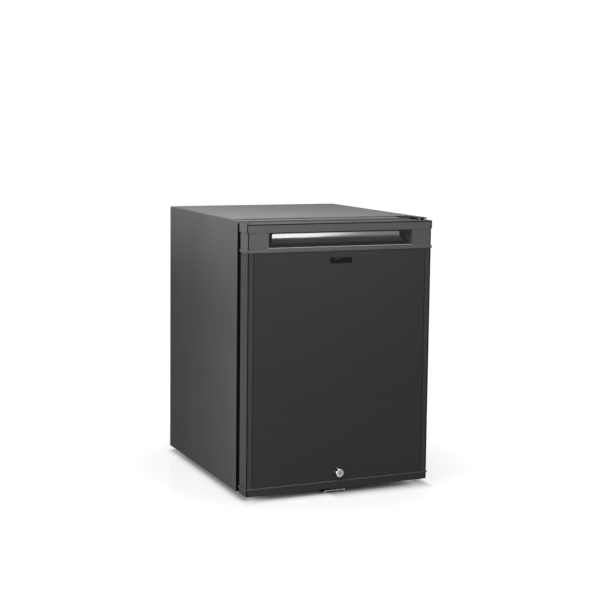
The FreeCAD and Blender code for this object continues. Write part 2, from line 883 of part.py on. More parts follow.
def door_bottom_cap():
    body_back = front_y - cap_gap
    wide = side_x + cap_overhang
    lip_foot = foot_cap_top - foot_lip_height
    body = block(-side_x, side_x, door_y, body_back, door_foot, lip_foot)
    lip_corners = [(door_y - lip_proud, lip_foot, lip_round), (body_back, lip_foot),
                   (body_back, foot_cap_top), (door_y - lip_proud, foot_cap_top, lip_round)]
    lip = prism(lip_corners, "yz", -wide, wide)
    inner_x = side_x - cap_wall
    hollow = block(-inner_x, inner_x, door_y + cap_wall, body_back + overrun,
                   door_foot + cap_wall, foot_cap_top + overrun)
    tuck = block(-inner_x, inner_x, door_y + profile_lip, body_back + overrun,
                 foot_cap_top - panel_end_tuck, foot_cap_top + overrun)
    cap = joined([body, lip]).cut(hollow).cut(tuck)
    for groove in rim_grooves(door_foot - overrun, lip_foot, side_x):
        cap = cap.cut(groove)
    slot_fall = lock_z - door_foot - cap_wall
    slot_reach = math.sqrt(cam_reach ** 2 - slot_fall ** 2) + cam_gap
    slot = block(-cam_width / 2 - cam_gap, slot_reach, cam_y - cam_gap, cam_y + cam_thick + cam_gap,
                 door_foot - overrun, door_foot + overrun)
    cap = cap.cut(slot)
    boss_top = door_foot + bush_run
    boss = rod("xy", bush_width + cap_wall, pivot_x, pivot_y, door_foot + cap_wall / 2, boss_top)
    bore = rod("xy", bush_width, pivot_x, pivot_y, door_foot - overrun, boss_top + overrun)
    return cap.fuse(boss).cut(bore)


def side_profile():
    """The extruded edge of the door: a thin lip over the panel, a shadow groove, a side wall and a return."""
    lip_x = side_x - profile_face
    return_x = side_x - profile_return
    rim_x = side_x - rim_inset
    inner_x = rim_x - rim_groove - profile_lip
    corners = [(lip_x, door_y), (rim_x - rim_groove, door_y), (rim_x - rim_groove, door_y + rim_depth),
               (rim_x, door_y + rim_depth), (rim_x, door_y), (side_x, door_y),
               (side_x, profile_back, profile_round), (return_x, profile_back),
               (return_x, profile_back - profile_wall), (inner_x, profile_back - profile_wall),
               (inner_x, door_y + profile_lip), (lip_x, door_y + profile_lip)]
    return prism(corners, "xy", foot_cap_top, top_cap_foot)


def door_front_panel():
    """A sheet tucked behind the lips round it, with a raised field that leaves a shadow line inside them."""
    half = side_x - profile_face + panel_tuck
    front = door_y + profile_lip
    back = front + panel_thick
    panel = block(-half, half, front, back, foot_cap_top - panel_end_tuck, top_cap_foot + panel_end_tuck)
    field_half = side_x - profile_face - panel_field_gap
    field = block(-field_half, field_half, panel_face, back,
                  foot_cap_top + panel_field_gap, top_cap_foot - panel_field_gap)
    hole = lock_body + seat_gap
    return joined([panel, field]).cut(rod("xz", hole, 0, lock_z, panel_face - overrun, back + overrun))


def door_foam():
    half = side_x - profile_return
    front = door_y + cap_wall
    foam = block(-half, half, front, profile_back, door_foot + cap_wall, top_cap_foot)
    pocket = block(-pocket_margin, cam_reach + cam_gap * 2, front - overrun,
                   cam_y + cam_thick + cam_bolt_rise + cam_gap * 2, door_foot, lock_z + pocket_margin)
    boss = rod("xy", bush_width + cap_wall, pivot_x, pivot_y, door_foot, door_foot + bush_run + seat_gap)
    return foam.cut(pocket).cut(boss)


def dyke_ring(wall, start, end):
    """The raised ring that holds the racks, or its hollow when a wall is given."""
    side = dyke_side - wall
    foot = dyke_foot + wall
    top = dyke_top - wall
    inner = dyke_width - wall * 2
    corner = dyke_corner - wall
    inner_corner = dyke_inner_corner + wall
    slope = dyke_taper
    outer = taper(rectangle(-side, side, foot, top, corner),
                  rectangle(slope - side, side - slope, foot + slope, top - slope, corner), "xz", start, end)
    hole_start = start - overrun
    hole_end = end + overrun
    hole = taper(rectangle(inner - side, side - inner, foot + inner, top - inner, inner_corner),
                 rectangle(inner - slope - side, side - inner + slope, foot + inner - slope,
                           top - inner + slope, inner_corner), "xz", hole_start, hole_end)
    return outer.cut(hole)


def door_liner():
    half = side_x - door_liner_inset
    foot = door_foot + cap_wall + seat_gap
    top = door_top - cap_wall - seat_gap
    return prism(rectangle(-half, half, foot, top, liner_fillet), "xz", profile_back, door_liner_back)


def door_dyke():
    """The hollow raised ring on the liner, open towards it."""
    ring_end = profile_back + dyke_reach
    ring = dyke_ring(0, door_liner_back, ring_end)
    hollow = dyke_ring(door_liner_wall, door_liner_back - overrun, ring_end - door_liner_wall)
    return ring.cut(hollow)


def door_rack(foot, height):
    """A moulded bottle rack between the dykes, with tapered walls and a thicker rim."""
    side = dyke_side - dyke_width - seat_gap
    front = door_liner_back + seat_gap
    back = front + rack_reach
    top = foot + height
    low_side = side - rack_taper
    outer = taper(rectangle(-low_side, low_side, front, back - rack_taper, rack_corner),
                  rectangle(-side, side, front, back, rack_corner), "xy", foot, top)
    inner_corner = rack_corner - rack_wall
    hollow = taper(rectangle(rack_wall - low_side, low_side - rack_wall, front + rack_wall,
                             back - rack_taper - rack_wall, inner_corner),
                   rectangle(rack_rim - side, side - rack_rim, front + rack_rim, back - rack_rim,
                             inner_corner), "xy", foot + rack_wall, top)
    return outer.cut(hollow)


def door_gasket():
    half = side_x - gasket_inset
    foot = base_z + gasket_inset
    top = ledge_z - gasket_inset
    back = front_y - seat_gap
    magnet_front = back - gasket_magnet
    root_end = door_liner_back + gasket_root
    web = gasket_web_inset
    root = frame_ring(half, foot, top, gasket_width, door_liner_back, root_end)
    stem = frame_ring(half - web, foot + web, top - web, gasket_web, root_end, magnet_front)
    magnet = frame_ring(half, foot, top, gasket_width, magnet_front, back)
    return joined([root, stem, magnet])


# Lock

def lock_barrel():
    face = door_y - lock_proud
    seat = panel_face
    flange = seat - lock_flange_run
    end = door_y + lock_body_run
    bore = lock_core / 2 + running_gap
    section = [(bore, face), (lock_boss / 2, face, lock_bevel), (lock_boss / 2, flange),
               (lock_flange / 2, flange, lock_bevel), (lock_flange / 2, seat), (lock_body / 2, seat),
               (lock_body / 2, end), (bore, end)]
    return turned("xz", 0, lock_z, bevelled(section))


def lock_nut():
    start = door_y + profile_lip + panel_thick
    corner = nut_flats / 2 / math.cos(math.pi / 6)
    corners = []
    for place in range(6):
        turn = math.pi / 3 * place
        corners.append((corner * math.cos(turn), lock_z + corner * math.sin(turn)))
    nut = prism(corners, "xz", start, start + nut_run)
    return nut.cut(rod("xz", lock_body, 0, lock_z, start - overrun, start + nut_run + overrun))


def lock_plug():
    """The turning core: a keyway in its face and a spigot that carries the cam."""
    face = door_y - lock_proud
    spigot_end = cam_y + cam_thick
    bolt = cam_bolt_width / 2
    bolt_end = spigot_end - cam_bolt_run
    section = [(0, face), (lock_core / 2, face), (lock_core / 2, cam_y), (lock_spigot / 2, cam_y),
               (lock_spigot / 2, spigot_end), (bolt, spigot_end), (bolt, bolt_end), (0, bolt_end)]
    plug = turned("xz", 0, lock_z, section)
    keyway = block(-keyway_width / 2, keyway_width / 2, face - overrun, face + keyway_depth,
                   lock_z - keyway_height / 2, lock_z + keyway_height / 2)
    return plug.cut(keyway)


def lock_cam():
    half = cam_width / 2
    nearly = half - running_gap
    corners = rectangle(-cam_tail, cam_reach, lock_z - half, lock_z + half, nearly)
    cam = prism(corners, "xz", cam_y, cam_y + cam_thick)
    return cam.cut(rod("xz", lock_spigot, 0, lock_z, cam_y - overrun, cam_y + overrun))


def cam_bolt():
    start = cam_y + cam_thick
    section = [(0, start - cam_bolt_run), (cam_bolt_width / 2, start - cam_bolt_run),
               (cam_bolt_width / 2, start), (cam_bolt_head / 2, start),
               (cam_bolt_head / 2, start + cam_bolt_rise, cam_bolt_rise / 2), (0, start + cam_bolt_rise)]
    return turned("xz", 0, lock_z, bevelled(section))


def lock_strike():
    """An inverted channel under the door with a slot for the cam, joggled up to the base pan."""
    half = strike_half
    foot = strike_z - strike_leg
    inner = half - strike_thick
    nose = door_y + pivot_behind
    riser = front_y + strike_step
    corners = [(-half, foot), (-half, strike_z, strike_round), (half, strike_z, strike_round), (half, foot),
               (inner, foot), (inner, strike_z - strike_thick, strike_round - strike_thick),
               (-inner, strike_z - strike_thick, strike_round - strike_thick), (-inner, foot)]
    channel = prism(corners, "xz", nose, riser)
    step_corners = [(riser - strike_thick, strike_z - strike_thick), (riser, strike_z - strike_thick),
                    (riser, base_z - strike_thick), (riser + strike_lap, base_z - strike_thick),
                    (riser + strike_lap, base_z), (riser - strike_thick, base_z)]
    step = prism(step_corners, "yz", strike_round - half, half - strike_round)
    fall = lock_z - strike_z
    reach = math.sqrt(cam_reach ** 2 - fall ** 2) + cam_gap
    slot = block(-cam_width / 2 - cam_gap, reach, cam_y - cam_gap, cam_y + cam_thick + cam_gap,
                 foot, strike_z + overrun)
    return channel.fuse(step).removeSplitter().cut(slot)


# Cooling unit

def boiler_casing():
    top = boiler_foot + boiler_height
    half = boiler_half
    body = prism(rectangle(boiler_x - half, boiler_x + half, unit_y - half, unit_y + half, boiler_corner),
                 "xy", boiler_foot, top)
    lids = []
    wide = half + boiler_lid_proud
    for start in (boiler_foot, top - boiler_lid):
        lids.append(prism(rectangle(boiler_x - wide, boiler_x + wide, unit_y - wide, unit_y + wide,
                                    boiler_corner + boiler_lid_proud), "xy", start, start + boiler_lid))
    return joined([body] + lids)


def vapour_pipe():
    start = Vector(boiler_x, unit_y, boiler_foot + boiler_height)
    corner = Vector(boiler_x, unit_y, condenser_z)
    end = Vector(condenser_start, unit_y, condenser_z)
    return bent_tube([start, corner, end], vapour_width, vapour_bend)


def condenser_tube():
    return rod("yz", condenser_width, unit_y, condenser_z, condenser_start, condenser_end)


def condenser_fins():
    """Thin square plates on the tube with their corners cut off."""
    fins = []
    first = condenser_start + unit_fin_inset
    pitch = (condenser_end - unit_fin_inset - first) / (unit_fin_count - 1)
    section = bevelled(rectangle(unit_y - unit_fin_half, unit_y + unit_fin_half, condenser_z - unit_fin_rise,
                                 condenser_z + unit_fin_rise, unit_fin_corner))
    for place in range(unit_fin_count):
        x = first + place * pitch
        fin = prism(section, "yz", x, x + unit_fin_thick)
        fins.append(fin.cut(rod("yz", condenser_width, unit_y, condenser_z, x - overrun, x + overrun)))
    return Part.makeCompound(fins)


def ammonia_pipe():
    low = condenser_z - ammonia_drop
    out = condenser_end + ammonia_out
    route = [Vector(condenser_end, unit_y, condenser_z), Vector(out, unit_y, condenser_z),
             Vector(out, unit_y, low), Vector(ammonia_x, unit_y, low),
             Vector(ammonia_x, bay_y + cover_thick, low)]
    return bent_tube(route, ammonia_width, ammonia_bend)


def service_cover():
    half = cover_width / 2
    slope = cover_taper
    top = cover_foot + cover_height
    return taper(rectangle(cover_x - half, cover_x + half, cover_foot, top, cover_corner),
                 rectangle(cover_x - half + slope, cover_x + half - slope, cover_foot + slope, top - slope,
                           cover_corner), "xz", bay_y, bay_y + cover_thick)


def absorber_vessel():
    """A long drum with domed ends."""
    radius = vessel_width / 2
    rise = radius * 2 / 3
    shoulder = radius - rise
    section = [(0, vessel_left), (shoulder, vessel_left), (radius, vessel_left + vessel_dome, rise / 2),
               (radius, vessel_right - vessel_dome, rise / 2), (shoulder, vessel_right), (0, vessel_right)]
    return turned("yz", unit_y, vessel_z, section)


def gas_exchanger():
    y = bay_y + exchanger_stand
    route = [Vector(exchanger_x, bay_y + cover_thick, exchanger_z), Vector(exchanger_x, y, exchanger_z),
             Vector(exchanger_x, y, vessel_z)]
    return bent_tube(route, exchanger_width, exchanger_bend).cut(absorber_vessel())


def absorber_coil():
    """One tube that zigzags down from the boiler casing into the drum."""
    bend = coil_pitch / 2
    near = coil_left
    far = coil_right
    route = [Vector(boiler_x + boiler_half, coil_y, coil_top)]
    z = coil_top
    for run in range(coil_runs - 1):
        turn_x = far + bend if run % 2 == 0 else near - bend
        route.append(Vector(turn_x, coil_y, z))
        z = z - coil_pitch
        route.append(Vector(turn_x, coil_y, z))
    route.append(Vector(far + bend, coil_y, z))
    route.append(Vector(far + bend, coil_y, vessel_z))
    return bent_tube(route, coil_width, bend - running_gap).cut(absorber_vessel())


def return_pipe():
    pipe = rod("yz", return_width, unit_y, vessel_z, boiler_x + boiler_half, vessel_left + vessel_dome)
    return pipe.cut(absorber_vessel())


def unit_brackets():
    """Sheet brackets from the back panel: combs for the coil, rings for the condenser,
    cradles for the drum and straps for the boiler casing."""
    brackets = []
    hole = coil_width + bracket_hole_gap
    coil_foot = coil_top - coil_pitch * (coil_runs - 1)
    for x in (comb_left, comb_right):
        comb = block(x, x + bracket_sheet, bay_y, coil_y + bracket_margin,
                     coil_foot - coil_width, coil_top + coil_width)
        for run in range(coil_runs):
            comb = comb.cut(rod("yz", hole, coil_y, coil_top - run * coil_pitch, x - overrun, x + overrun))
        brackets.append(comb)
    ring_hole = condenser_width + bracket_hole_gap
    for x in (condenser_start + condenser_bracket_inset, condenser_end - condenser_bracket_inset):
        ring = block(x, x + bracket_sheet, bay_y, unit_y + condenser_width,
                     condenser_z - condenser_width, condenser_z + condenser_width)
        brackets.append(ring.cut(rod("yz", ring_hole, unit_y, condenser_z, x - overrun, x + overrun)))
    drum = vessel_width + bracket_hole_gap
    for x in (vessel_left + cradle_lead, vessel_right - cradle_inset):
        cradle = block(x, x + bracket_sheet, bay_y, unit_y + cradle_lap, vessel_z - cradle_drop, vessel_z)
        brackets.append(cradle.cut(rod("yz", drum, unit_y, vessel_z, x - overrun, x + overrun)))
    casing_y = unit_y - boiler_half
    for z in (boiler_foot + boiler_strap_inset, boiler_foot + boiler_height - boiler_strap_inset):
        brackets.append(block(boiler_x - boiler_strap, boiler_x + boiler_strap, bay_y, casing_y,
                              z, z + boiler_strap))
    return Part.makeCompound(brackets)


def terminal_box():
    top = terminal_foot + terminal_height
    left = terminal_x - terminal_width / 2
    right = terminal_x + terminal_width / 2
    end = bay_y + terminal_depth
    body = prism(rectangle(left, right, terminal_foot, top, terminal_corner), "xz", bay_y, end)
    proud = terminal_lid_proud
    lid = prism(rectangle(left - proud, right + proud, terminal_foot - proud, top + proud,
                          terminal_corner + proud), "xz", end - terminal_lid, end)
    conduit = rod("xy", conduit_width, boiler_x, unit_y - terminal_lid, top - terminal_corner, boiler_foot)
    return joined([body, lid, conduit])


def cable_gland():
    start = bay_y + terminal_depth
    bore = gland_bore / 2
    end = start + gland_run
    section = [(bore, start), (gland_width / 2, start), (gland_width / 2, start + gland_collar),
               (gland_nose / 2, start + gland_collar), (gland_nose / 2, end, lip_round), (bore, end)]
    return turned("xz", terminal_x, terminal_foot + terminal_height / 2, bevelled(section))


def build():
    """Every piece by its name."""
    foot_left, foot_right = foot_places()
    profile = side_profile()
    return {
        "cabinet_wrap": cabinet_wrap(),
        "base_pan": base_pan(),
        "back_panel": back_panel(),
        "cabinet_foam": cabinet_foam(),
        "inner_liner": inner_liner(),
        "shelf_lower": wire_shelf(shelf_levels[0]),
        "shelf_upper": wire_shelf(shelf_levels[1]),
        "evaporator_fins": evaporator_fins(),
        "drip_tray": drip_tray(),
        "drain_tube": drain_tube(),
        "lamp_holder": lamp_holder(),
        "lamp_lens": lamp_lens(),
        "control_housing": control_housing(),
        "control_knob": control_knob(),
        "foot_bushes": foot_bushes(),
        "front_foot_left": levelling_foot(*foot_left),
        "front_foot_right": levelling_foot(*foot_right),
        "rear_feet": rear_feet(),
        "hinge_plate_top": hinge_plate(ledge_z),
        "hinge_plate_bottom": hinge_plate(base_z - plate_thick),
        "hinge_pins": hinge_pins(),
        "hinge_bushes": hinge_bushes(),
        "hinge_hole_plug": hinge_hole_plug(),
        "door_top_cap": door_top_cap(),
        "door_bottom_cap": door_bottom_cap(),
        "door_profile_left": mirrored(profile),
        "door_profile_right": profile,
        "door_front_panel": door_front_panel(),
        "door_foam": door_foam(),
        "door_liner": door_liner(),
        "door_dyke": door_dyke(),
        "door_rack_upper": door_rack(upper_rack_foot, upper_rack_height),
        "door_rack_lower": door_rack(lower_rack_foot, lower_rack_height),
        "door_gasket": door_gasket(),
        "lock_barrel": lock_barrel(),
        "lock_nut": lock_nut(),
        "lock_plug": lock_plug(),
        "lock_cam": lock_cam(),
        "cam_bolt": cam_bolt(),
        "lock_strike": lock_strike(),
        "boiler_casing": boiler_casing(),
        "vapour_pipe": vapour_pipe(),
        "condenser_tube": condenser_tube(),
        "condenser_fins": condenser_fins(),
        "ammonia_pipe": ammonia_pipe(),
        "service_cover": service_cover(),
        "absorber_vessel": absorber_vessel(),
        "gas_exchanger": gas_exchanger(),
        "absorber_coil": absorber_coil(),
        "return_pipe": return_pipe(),
        "unit_brackets": unit_brackets(),
        "terminal_box": terminal_box(),
        "cable_gland": cable_gland(),
    }


os.makedirs("parts", exist_ok=True)
for name, shape in build().items():
    shape.exportStep("parts/" + name + ".step")
    box = shape.BoundBox
    print("%-20s solids %2d  valid %s  volume %9.0f  x %7.1f %7.1f  y %7.1f %7.1f  z %6.1f %6.1f" % (
        name, len(shape.Solids), shape.isValid(), shape.Volume, box.XMin, box.XMax, box.YMin, box.YMax,
        box.ZMin, box.ZMax))
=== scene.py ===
# %% [markdown]
# # A minibar fridge, dressed in Blender
# The solids of this fridge come from a CAD model. This lesson leaves them where they are and gives
# each one the finish of the real material. It then models by hand what the solids leave out: the
# badge plate, the screw heads, the folds of the gasket and the marks of the dial.
# Everything is in metres. +Z is up, the door faces -Y and its hinges are on the +X side.

# %% Load the frame
import bmesh
import bpy
import itertools
import json
import math
from mathutils import Matrix, Vector


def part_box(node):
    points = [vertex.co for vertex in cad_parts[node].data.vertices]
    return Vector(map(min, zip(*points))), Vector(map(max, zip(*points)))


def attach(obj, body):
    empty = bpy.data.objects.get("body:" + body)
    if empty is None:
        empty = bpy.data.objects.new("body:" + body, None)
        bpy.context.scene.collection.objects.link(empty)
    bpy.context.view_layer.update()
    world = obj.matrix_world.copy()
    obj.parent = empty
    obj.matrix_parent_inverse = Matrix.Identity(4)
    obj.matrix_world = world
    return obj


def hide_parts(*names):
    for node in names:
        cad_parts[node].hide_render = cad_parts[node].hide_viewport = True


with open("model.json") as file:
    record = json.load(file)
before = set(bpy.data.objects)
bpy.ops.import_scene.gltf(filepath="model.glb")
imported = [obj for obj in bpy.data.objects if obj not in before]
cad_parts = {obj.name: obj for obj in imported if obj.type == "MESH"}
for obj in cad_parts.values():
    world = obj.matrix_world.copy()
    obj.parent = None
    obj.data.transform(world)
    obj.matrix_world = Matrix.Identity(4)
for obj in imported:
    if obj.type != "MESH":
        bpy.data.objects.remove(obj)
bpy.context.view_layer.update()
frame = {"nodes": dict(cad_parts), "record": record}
nodes = frame["nodes"]
scene = bpy.context.scene
scene.view_settings.view_transform = "Standard"
millimetre = 0.001

# %% [markdown]
# ## A way to write materials
# Blender's materials are graphs of nodes. Wiring them one link at a time hides the idea of a
# finish, so one small class wraps an output and lets Python's own signs add the Math nodes. A
# second class holds a material and makes any other node from its type, its settings and what goes
# into it. Greys are written as they look on a screen, from 0 to 255.

# %% Sums of sockets
class Value:
    """The output of a shader node, written in sums like a number."""

    def __init__(self, finish, socket):
        self.finish = finish
        self.socket = socket

    def maths(self, operation, first, second):
        return self.finish.node("Math", {"operation": operation}, {0: first, 1: second})

    def __add__(self, other):
        return self.maths("ADD", self, other)

    def __sub__(self, other):
        return self.maths("SUBTRACT", self, other)

    def __rsub__(self, other):
        return self.maths("SUBTRACT", other, self)

    def __mul__(self, other):
        return self.maths("MULTIPLY", self, other)

    __radd__ = __add__
    __rmul__ = __mul__


# %% A finish and its nodes
class Finish:
    """One material: its principled shader, and the nodes that feed it."""

    def __init__(self, name, color, roughness, **sockets):
        self.material = bpy.data.materials.new(name)
        self.material.use_nodes = True
        self.tree = self.material.node_tree
        self.shader = self.tree.nodes["Principled BSDF"]
        self.shader.inputs["Base Color"].default_value = (*color, 1)
        self.shader.inputs["Roughness"].default_value = roughness
        for socket, value in sockets.items():
            self.shader.inputs[socket.replace("_", " ")].default_value = value

    def node(self, kind, settings, inputs, output=0):
        """Any node, from its type, its settings and the values or links of its sockets."""
        made = self.tree.nodes.new("ShaderNode" + kind)
        for key, value in settings.items():
            if key == "stops":
                ramp = made.color_ramp
                for place, (position, shade) in enumerate(value):
                    stop = ramp.elements[place] if place < 2 else ramp.elements.new(position)
                    stop.position = position
                    stop.color = (shade, shade, shade, 1)
            else:
                setattr(made, key, value)
        for key, value in inputs.items():
            if isinstance(value, Value):
                self.tree.links.new(value.socket, made.inputs[key])
            else:
                made.inputs[key].default_value = value
        return Value(self, made.outputs[output])

    def feed(self, socket, value):
        """Let a value drive one socket of the shader."""
        self.tree.links.new(value.socket, self.shader.inputs[socket])

    def place(self, stretch=(1, 1, 1)):
        """The point on the piece, in metres, stretched along the axes."""
        point = self.node("TexCoord", {}, {}, "Object")
        return self.node("Mapping", {"vector_type": "POINT"}, {"Vector": point, "Scale": stretch})

    def part(self, point, axis):
        """One of the three numbers of a point."""
        return self.node("SeparateXYZ", {}, {"Vector": point}, axis)

    def noise(self, point, scale, detail=2.0, distortion=0.0):
        return self.node("TexNoise", {}, {"Vector": point, "Scale": scale, "Detail": detail,
                                          "Distortion": distortion}, "Fac")

    def ramp(self, value, *stops):
        return self.node("ValToRGB", {"stops": stops}, {"Fac": value})

    def mix(self, factor, first, second):
        """Two colours, blended."""
        return self.node("Mix", {"data_type": "RGBA"}, {0: factor, 6: first, 7: second}, 2)

    def distance(self, value):
        """How far from zero a value lies, to either side."""
        return self.node("Math", {"operation": "ABSOLUTE"}, {0: value})

    def larger(self, first, second):
        """The larger of two values."""
        return self.node("Math", {"operation": "MAXIMUM"}, {0: first, 1: second})

    def above(self, value, level, soft):
        """0 below a level and 1 above it, with a soft step that reaches this far to each side."""
        return self.node("MapRange", {"interpolation_type": "SMOOTHSTEP"},
                         {"Value": value, "From Min": level - soft, "From Max": level + soft})

    def between(self, value, low, high, soft):
        """1 between two levels and 0 outside them."""
        return self.above(value, low, soft) * (1 - self.above(value, high, soft))

    def edges(self, reach):
        """Near 1 on edges that hands and cloths reach, and 0 on flat faces."""
        rounded = self.node("Bevel", {"samples": 4}, {"Radius": reach})
        true = self.node("NewGeometry", {}, {}, "Normal")
        alike = self.node("VectorMath", {"operation": "DOT_PRODUCT"}, {0: rounded, 1: true},
                          "Value")
        return self.ramp(alike, (0.72, 1.0), (0.97, 0.0))

    def bump(self, height, strength, depth, edge=0.0):
        """Raise the surface by a height pattern, over edges rounded by a small radius."""
        inputs = {"Height": height, "Strength": strength, "Distance": depth}
        if edge:
            inputs["Normal"] = self.node("Bevel", {"samples": 4}, {"Radius": edge})
        self.feed("Normal", self.node("Bump", {}, inputs))


# %% Greys
def grey(level, warmth=0.0):
    """A grey by its screen value from 0 to 255, as the linear colour that shaders use."""
    share = level / 255
    linear = ((share + 0.055) / 1.055) ** 2.4
    return (linear * (1 + warmth), linear, linear * (1 - warmth))


def tint(level, warmth=0.0):
    """The same grey with an alpha of 1, as a Mix node takes it."""
    return (*grey(level, warmth), 1)


def tone_stops(low, high):
    """Two stops of a ramp that turn the middle of a noise into two greys."""
    return (0.3, grey(low)[0]), (0.7, grey(high)[0])


print("a screen grey of 128 is", round(grey(128)[0], 3), "in a shader")

# %% [markdown]
# ## Stage and light
# The picture is a plain studio shot: white all round, a soft shadow under the fridge and a faint
# mirror image below it. A large pale floor takes the shadow. Lamps would light it unevenly, so it
# glows by itself and the shadow dims the glow. The shadow is ambient occlusion, which is dark where
# things stand close together, and a ramp gives it the depth and width of the real one. That is a
# little thin along the sides and at the front right, so two masks on the floor deepen it there.

# %% Floor and its shadow
floor_reach = 30.0
shadow_middle = 8 * millimetre
sides_from, sides_to = -0.196, 0.26
front_from, front_to = -0.01, 0.216
bpy.ops.mesh.primitive_plane_add(size=floor_reach * 2, location=(0, 0, 0))
floor = bpy.context.object
floor.name = "studio_floor"
sweep = Finish("studio_sweep", grey(100), 0.9, Specular_IOR_Level=0.0)
spot = sweep.place()
spot_x = sweep.part(spot, 0)
spot_y = sweep.part(spot, 1)
contact = sweep.node("AmbientOcclusion", {"samples": 32}, {"Distance": 0.5}, "AO")
shadow = sweep.ramp(contact, (0.0, 0.02), (0.045, 0.08), (0.065, 0.2), (0.09, 0.48),
                    (0.12, 0.7), (0.16, 0.86), (0.25, 0.95), (0.5, 1.0))
from_middle = sweep.distance(spot_x - shadow_middle)
beside = sweep.between(spot_y, sides_from, sides_to, 14 * millimetre)
under_sides = sweep.ramp(from_middle, (0.150, 0.4), (0.187, 0.5), (0.193, 0.74), (0.199, 0.49),
                         (0.205, 0.23), (0.211, 0.1), (0.218, 0.0))
front_right = sweep.between(spot_x, front_from, front_to, 8 * millimetre)
under_door = sweep.ramp(0 - spot_y, (0.165, 0.0), (0.185, 0.45), (0.200, 0.5),
                        (0.213, 0.4), (0.227, 0.22), (0.240, 0.08), (0.255, 0.0))
shadow = shadow * (1 - beside * under_sides) * (1 - front_right * under_door)
print("floor is", floor_reach * 2, "m wide")

# %% The floor's glow and faint mirror image
mirror_share = 0.045
away = sweep.node("VectorMath", {"operation": "LENGTH"}, {0: spot}, "Value")
open_floor = sweep.node("MapRange", {}, {"Value": away, "From Min": 0.3, "From Max": 0.5,
                                         "To Min": 0.83, "To Max": 1.0})
seen = sweep.node("LightPath", {}, {}, "Is Camera Ray")
reflected = sweep.node("LightPath", {}, {}, "Is Glossy Ray")
glow = open_floor * shadow * (seen + reflected)
# the painted shadow darkens the floor's own colour as well as its glow
pale = sweep.node("VectorMath", {"operation": "SCALE"}, {0: grey(100), "Scale": shadow}, "Vector")
sweep.feed("Base Color", pale)
sweep.shader.inputs["Emission Strength"].default_value = 1.0
sweep.feed("Emission Color", sweep.node("CombineColor", {}, {0: glow, 1: glow, 2: glow}))
matt = Value(sweep, sweep.shader.outputs[0])
mirror = sweep.node("BsdfGlossy", {}, {"Roughness": 0.12, "Color": (1, 1, 1, 1)}, "BSDF")
surface = sweep.node("MixShader", {}, {0: mirror_share, 1: matt, 2: mirror})
sweep.tree.links.new(surface.socket, sweep.tree.nodes["Material Output"].inputs["Surface"])
floor.data.materials.append(sweep.material)
print("the floor mirrors", mirror_share, "of what stands on it")

# %% [markdown]
# ## The air round the fridge
# Only camera, gloss and glass rays see the world as pure white. All others meet a dim grey, so the
# white background doesn't wash the fridge out. A world's nodes aren't a finish, so they are wired
# by hand: two Maximum nodes gather the three kinds of ray into one strength.

# %% World
dim_air = 0.09
world = bpy.data.worlds.new("studio_air")
scene.world = world
world.use_nodes = True
air = world.node_tree
rays = air.nodes.new("ShaderNodeLightPath").outputs
white = air.nodes.new("ShaderNodeMath")
shiny_or_clear = air.nodes.new("ShaderNodeMath")
for choice, first, second in ((shiny_or_clear, rays["Is Glossy Ray"], rays["Is Transmission Ray"]),
                              (white, rays["Is Camera Ray"], shiny_or_clear.outputs[0])):
    choice.operation = "MAXIMUM"
    air.links.new(first, choice.inputs[0])
    air.links.new(second, choice.inputs[1])
strength = air.nodes.new("ShaderNodeMapRange")
strength.inputs["To Min"].default_value = dim_air
strength.inputs["To Max"].default_value = 1.0
air.links.new(white.outputs[0], strength.inputs["Value"])
sky = air.nodes["Background"]
sky.inputs["Color"].default_value = (1, 1, 1, 1)
air.links.new(strength.outputs["Result"], sky.inputs["Strength"])
print("the air gives", dim_air, "of white to matt surfaces")

# %% [markdown]
# ## Softboxes
# Studio lamps are large boxes of cloth, which give soft edges to light and shade. A thin one with a
# narrow grid grazes the left side from above, and a low one on the left fades along it. A tall one
# on the right shows as a glow in the grip and the door sheet, and two high ones fill the top. Their
# power keeps each colour near how it is written.

# %% Lamps
def softbox(name, place, aim, width, height, power, spread=180):
    """A rectangular lamp that looks at a point, narrowed by a grid when a spread is given."""
    lamp = bpy.data.lights.new(name, "AREA")
    lamp.shape = "RECTANGLE"
    lamp.size = width
    lamp.size_y = height
    lamp.energy = power
    lamp.spread = math.radians(spread)
    holder = bpy.data.objects.new(name, lamp)
    scene.collection.objects.link(holder)
    holder.location = place
    holder.rotation_euler = (Vector(aim) - Vector(place)).to_track_quat("-Z", "Y").to_euler()


softbox("softbox_over", (-0.85, 0.05, 1.0), (-0.2, 0.05, 0.57), 0.8, 0.12, 0.31, 19)
softbox("softbox_left", (-0.65, -0.65, 0.22), (-0.2, -0.15, 0.18), 0.4, 0.42, 3.9)
softbox("softbox_high", (-0.3, -0.5, 1.3), (-0.05, -0.1, 0.5), 0.9, 0.6, 20)
softbox("softbox_top", (0.0, 0.15, 1.6), (0, 0.05, 0.55), 0.8, 0.6, 8)
softbox("softbox_right", (0.98, -2.7, 1.1), (0, -0.2, 0.5), 0.42, 1.8, 21)

# %% [markdown]
# ## Camera
# The picture was taken with a long lens from the left of the door and a little above it. The
# place, turn and lens were worked out from the corners of the cabinet, whose sizes are known. The
# lens sits a little high in the frame, which a small shift repeats.

# %% Place the camera
camera_data = bpy.data.cameras.new("camera")
camera = bpy.data.objects.new("camera", camera_data)
scene.collection.objects.link(camera)
scene.camera = camera
camera_data.sensor_width = 36.0
camera_data.lens = 82.22
pixels_high = 600
pixels_shifted = 35
camera_data.shift_y = -pixels_shifted / pixels_high
camera_yaw = 0.41598
camera_pitch = 0.10792
camera_roll = 0.011746
camera.matrix_world = (Matrix.Translation((-1.16924, -2.67278, 0.76225))
                       @ Matrix.Rotation(-camera_yaw, 4, "Z")
                       @ Matrix.Rotation(math.pi / 2 - camera_pitch, 4, "X")
                       @ Matrix.Rotation(camera_roll, 4, "Z"))
print("camera at", [round(value, 3) for value in camera.matrix_world.translation])
